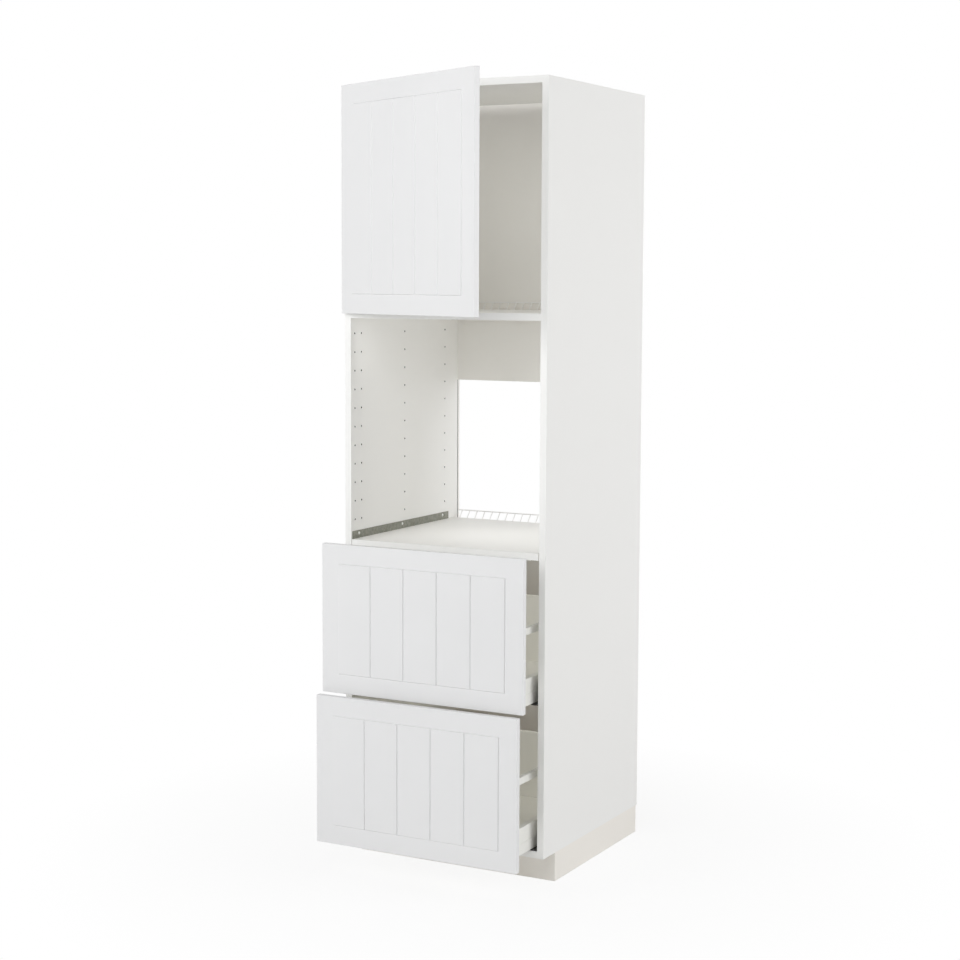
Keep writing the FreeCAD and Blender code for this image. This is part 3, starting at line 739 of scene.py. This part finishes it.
def screws(name, body, spots, head, slot, turn=Matrix.Identity(4), node=None, finish=None):
    """Heads of one (radius, height) at (place, facing) spots."""
    radius, height = head
    points = bpy.data.meshes.new(name + "_points")
    points.from_pydata([place for place, way in spots], [], [])
    ways = points.attributes.new("facing", "FLOAT_VECTOR", "POINT")
    for item, (place, way) in zip(ways.data, spots):
        item.vector = way
    mesh = grown(name, screw_tree, points, {
        "Head Radius": radius, "Head Height": height, "Recess Width": radius * RECESS_SHARE,
        "Material": finishes[finish or slot]})
    mesh.transform(turn)
    shade_smooth(mesh, HEAD_SHARP_DEG)
    piece = add_object(name, mesh)
    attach(piece, body)
    if node:
        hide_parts(node)
    print(name, len(spots), "heads,", len(mesh.polygons), "faces")


print("recess share:", RECESS_SHARE)

# %% [markdown]
# The hinges come first: two screws in the wells of each arm, one adjusting screw between them, and
# two on the wings of each cup. The wing screws swing with the door.

# %% Screws of the hinges
WELL_HEAD = (4.2 * MM, 1.8 * MM)
ADJUSTER_HEAD = (3.2 * MM, 0.9 * MM)
WING_HEAD = (3.6 * MM, 1.3 * MM)
HINGE_COLUMNS = (20.0 * MM, 53.0 * MM)
WING_T = 1.2 * MM
WING_SCREW_X = 9.5 * MM
WING_SCREW_Z = 24.0 * MM
TO_RIGHT = Vector((1, 0, 0))
TO_REAR = Vector((0, 1, 0))

well_ys = [FRONT_EDGE + column for column in HINGE_COLUMNS]
wells = [(Vector((plates_high.x, y, z)), TO_RIGHT) for z in hinge_zs for y in well_ys]
screws("hinge_plate_screws", "carcass", wells, WELL_HEAD, "hinge_steel")

arm_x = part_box("hinge_arms")[1].x
between_y = FRONT_EDGE + sum(HINGE_COLUMNS) / 2
adjusters = [(Vector((arm_x, between_y, z)), TO_RIGHT) for z in hinge_zs]
screws("hinge_adjusters", "carcass", adjusters, ADJUSTER_HEAD, "hinge_steel")

wing_x, wing_y = cup_x + WING_SCREW_X, back_y + WING_T
wing_zs = [z + side * WING_SCREW_Z for z in hinge_zs for side in (-1, 1)]
wings = [(Vector((wing_x, wing_y, z)), TO_REAR) for z in wing_zs]
screws("hinge_wing_screws", "door", wings, WING_HEAD, "hinge_steel", door_turn)

# %% [markdown]
# Then the carcass and the drawers: three screws along each shelf angle, two on each wall bracket
# and two on each strap behind the drawers. The heads on the angles take the place of plain ones in
# the solids.

# %% Screws of the angles, brackets and straps
ANGLE_HEAD = (4.0 * MM, 2.2 * MM)
BRACKET_HEAD = (4.0 * MM, 2.0 * MM)
STRAP_HEAD = (3.6 * MM, 1.5 * MM)
ANGLE_T = 1.5 * MM
ANGLE_SCREW_YS = (37.0 * MM, 267.0 * MM, 497.0 * MM)
BRACKET_T = 2.0 * MM
BRACKET_SCREW_YS = (18.0 * MM, 46.0 * MM)
STRAP_SCREW_ZS = (30.0 * MM, 110.0 * MM)
STRAP_SCREW_IN = 12.0 * MM

angle_low, angle_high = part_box("angle_screws")
angle_z = (angle_low.z + angle_high.z) / 2
angle_spots = []
bracket_spots = []
for side, name in ((-1, "left"), (1, "right")):
    inward = Vector((-side, 0, 0))
    low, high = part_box("oven_shelf_angle_" + name)
    leaf_x = side * (max(abs(low.x), abs(high.x)) - ANGLE_T)
    for y in ANGLE_SCREW_YS:
        angle_spots.append((Vector((leaf_x, FRONT_EDGE + y, angle_z)), inward))
    low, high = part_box("wall_bracket_" + name)
    leaf_x = side * (max(abs(low.x), abs(high.x)) - BRACKET_T)
    for y in BRACKET_SCREW_YS:
        bracket_spots.append((Vector((leaf_x, low.y + y, (low.z + high.z) / 2)), inward))
screws("angle_screw_heads", "carcass", angle_spots, ANGLE_HEAD, "galvanised",
       node="angle_screws", finish="screw_zinc")
screws("bracket_screw_heads", "carcass", bracket_spots, BRACKET_HEAD, "galvanised")

for level in ("upper", "lower"):
    screw_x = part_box(level + "_drawer_back")[1].x - STRAP_SCREW_IN
    strap_low, strap_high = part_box(level + "_drawer_brackets")
    spots = []
    for side in (-1, 1):
        for rise in STRAP_SCREW_ZS:
            place = Vector((side * screw_x, strap_high.y, strap_low.z + rise))
            spots.append((place, TO_REAR))
    screws(level + "_strap_screws", level + "_drawer", spots, STRAP_HEAD, "galvanised")

# %% [markdown]
# The camera stands where the photograph was taken from, found by fitting the corners of the carcass
# and the fronts: about eye height, to the right of the cabinet, with a long lens. A small shift
# keeps the verticals nearly upright.

# %% Camera
CAMERA_PLACE = Vector((2.4424, -4.6411, 1.5693))
YAW = math.radians(28.25)
PITCH = math.radians(5.491)
ROLL = math.radians(0.226)
LENS = 71.909
SENSOR = 36.0
SHIFT_Y = -0.0156

ahead = math.cos(PITCH)
forward = Vector((-math.sin(YAW) * ahead, math.cos(YAW) * ahead, -math.sin(PITCH)))
level_right = Vector((math.cos(YAW), math.sin(YAW), 0.0))
level_up = level_right.cross(forward)
right = level_right * math.cos(ROLL) + level_up * math.sin(ROLL)
up = level_up * math.cos(ROLL) - level_right * math.sin(ROLL)

lens = bpy.data.cameras.new("camera")
lens.lens = LENS
lens.sensor_width = SENSOR
lens.shift_y = SHIFT_Y
camera = bpy.data.objects.new("camera", lens)
turn = Matrix((right, up, -forward)).transposed().to_4x4()
camera.matrix_world = Matrix.Translation(CAMERA_PLACE) @ turn
bpy.context.scene.collection.objects.link(camera)
bpy.context.scene.camera = camera
bpy.context.scene.view_settings.view_transform = "Standard"
print("camera at", [round(c, 3) for c in CAMERA_PLACE])

# %% [markdown]
# The room is a white studio. It looks plain white to the camera, through the Light Path node, so
# that the background is white without more light on the cabinet. As a source of light it is
# weaker, and its ceiling is dimmer than its walls.

# %% World
WHITE = rgb(1.0, 1.0, 1.0)
WORLD_LIGHT = 0.7
CEILING_DIM = 0.8                # share of that light which is missing straight overhead


def seen_by_camera(tree):
    """One for what the camera sees directly, in a mirror or through glass, nought for the rest."""
    rays = ("Is Camera Ray", "Is Glossy Ray", "Is Transmission Ray")
    direct, mirrored, through = (tree.node("ShaderNodeLightPath", out=ray) for ray in rays)
    return (direct + mirrored + through).at_most(1.0)


world = bpy.data.worlds.new("studio")
bpy.context.scene.world = world
world.use_nodes = True
sky = Tree(world.node_tree)
background = sky.nodes["Background"]
background.inputs["Color"].default_value = WHITE
height = sky.axis(sky.node("ShaderNodeTexCoord", out="Generated"), "Z")
ambient = WORLD_LIGHT * (1.0 - CEILING_DIM * height.at_least(0.0))
strength = ambient + seen_by_camera(sky) * (1.0 - ambient)
sky.links.new(strength.socket, background.inputs["Strength"])
print("world:", WORLD_LIGHT)

# %% [markdown]
# The floor is pale and keeps a soft shadow near the cabinet. Further out it fades into the same
# plain white, so that no horizon shows.

# %% Floor
FLOOR_HALF = 14.0
FLOOR_PALE = rgb(0.93, 0.93, 0.93)
SHADOW_SHARE = 0.12              # how much of the real light the camera sees near the cabinet
SHADOW_REACH = (0.5, 1.3)        # distances between which the shadow fades into plain white

corners = [(x * FLOOR_HALF, y * FLOOR_HALF, 0.0) for x, y in ((-1, -1), (1, -1), (1, 1), (-1, 1))]
floor_mesh = bpy.data.meshes.new("studio_floor")
floor_mesh.from_pydata(corners, [], [(0, 1, 2, 3)])
floor = add_object("studio_floor", floor_mesh)

pale = Finish("studio_floor", Base_Color=FLOOR_PALE, Roughness=0.9, Specular_IOR_Level=0.0)
away = pale.node("ShaderNodeVectorMath", {"operation": "LENGTH"}, {0: pale.place}, "Value")
fade = pale.node("ShaderNodeMapRange", inputs={
    "Value": away, "From Min": SHADOW_REACH[0], "From Max": SHADOW_REACH[1],
    "To Min": 1.0 - SHADOW_SHARE, "To Max": 1.0})
glow = pale.node("ShaderNodeEmission", inputs={"Color": WHITE, "Strength": 1.0})
lit = Value(pale, pale.shader.outputs[0])
plain = seen_by_camera(pale) * fade
blend = pale.node("ShaderNodeMixShader", inputs={0: plain, 1: lit, 2: glow})
pale.links.new(blend.socket, pale.nodes["Material Output"].inputs["Surface"])
floor_mesh.materials.append(pale.material)
print("floor:", 2 * FLOOR_HALF, "m across")

# %% [markdown]
# Four large softboxes stand round the cabinet. The main one is at the front left, so that the right
# wall of each groove is light and the left one dark, as in the photograph. A higher one at the
# front reaches the carcass edges and the shelf of the niche. One at the right lights the side, and
# a weaker one at the rear left the sides that face away. A small lamp hangs over the top board.
# Light that goes into a white compartment bounces many times. The limit on bounces is raised for
# it, and four weak fills stand in for what is still lost there.

# %% Lamps
AIM = Vector((0.0, -0.1, 1.05))
SOFTBOX = (2.2, 2.2)
DRAWER_FILL = (0.4, 0.3)
WHITE_BOX_BOUNCES = 12


def lamp(name, place, size, watts, aim=AIM, spread_deg=180.0):
    light = bpy.data.lights.new(name, "AREA")
    light.shape = "RECTANGLE"
    light.size, light.size_y = size
    light.energy = watts
    light.spread = math.radians(spread_deg)
    made = add_object(name, light)
    made.location = place
    made.visible_camera = False
    made.rotation_euler = (Vector(aim) - Vector(place)).to_track_quat("-Z", "Y").to_euler()


bpy.context.scene.cycles.diffuse_bounces = WHITE_BOX_BOUNCES
lamp("key_box", (-2.6, -4.3, 2.4), SOFTBOX, watts=69.0)
lamp("front_box", (1.0, -4.25, 3.15), SOFTBOX, watts=51.0)
lamp("right_box", (4.3, 0.9, 2.0), SOFTBOX, watts=67.0)
lamp("left_box", (-3.9, 2.2, 2.0), SOFTBOX, watts=30.0)
lamp("top_box", (0.0, 0.0, 3.6), (0.5, 0.5), watts=7.0, aim=(0.0, 0.0, 2.0))
lamp("fill_behind_door", (0.0, -0.27, 1.6), (0.5, 0.55), watts=0.31, aim=(0.0, 0.3, 1.55))
lamp("fill_niche", (0.0, -0.05, 1.45), (0.46, 0.42), watts=0.1, aim=(0.0, -0.05, 1.0),
     spread_deg=50.0)
lamp("fill_upper_drawer", (0.05, 0.05, 0.845), DRAWER_FILL, watts=0.22, aim=(0.05, 0.05, 0.5))
lamp("fill_lower_drawer", (0.05, 0.05, 0.455), DRAWER_FILL, watts=0.2, aim=(0.05, 0.05, 0.1))
print("lamps:", len(bpy.data.lights))
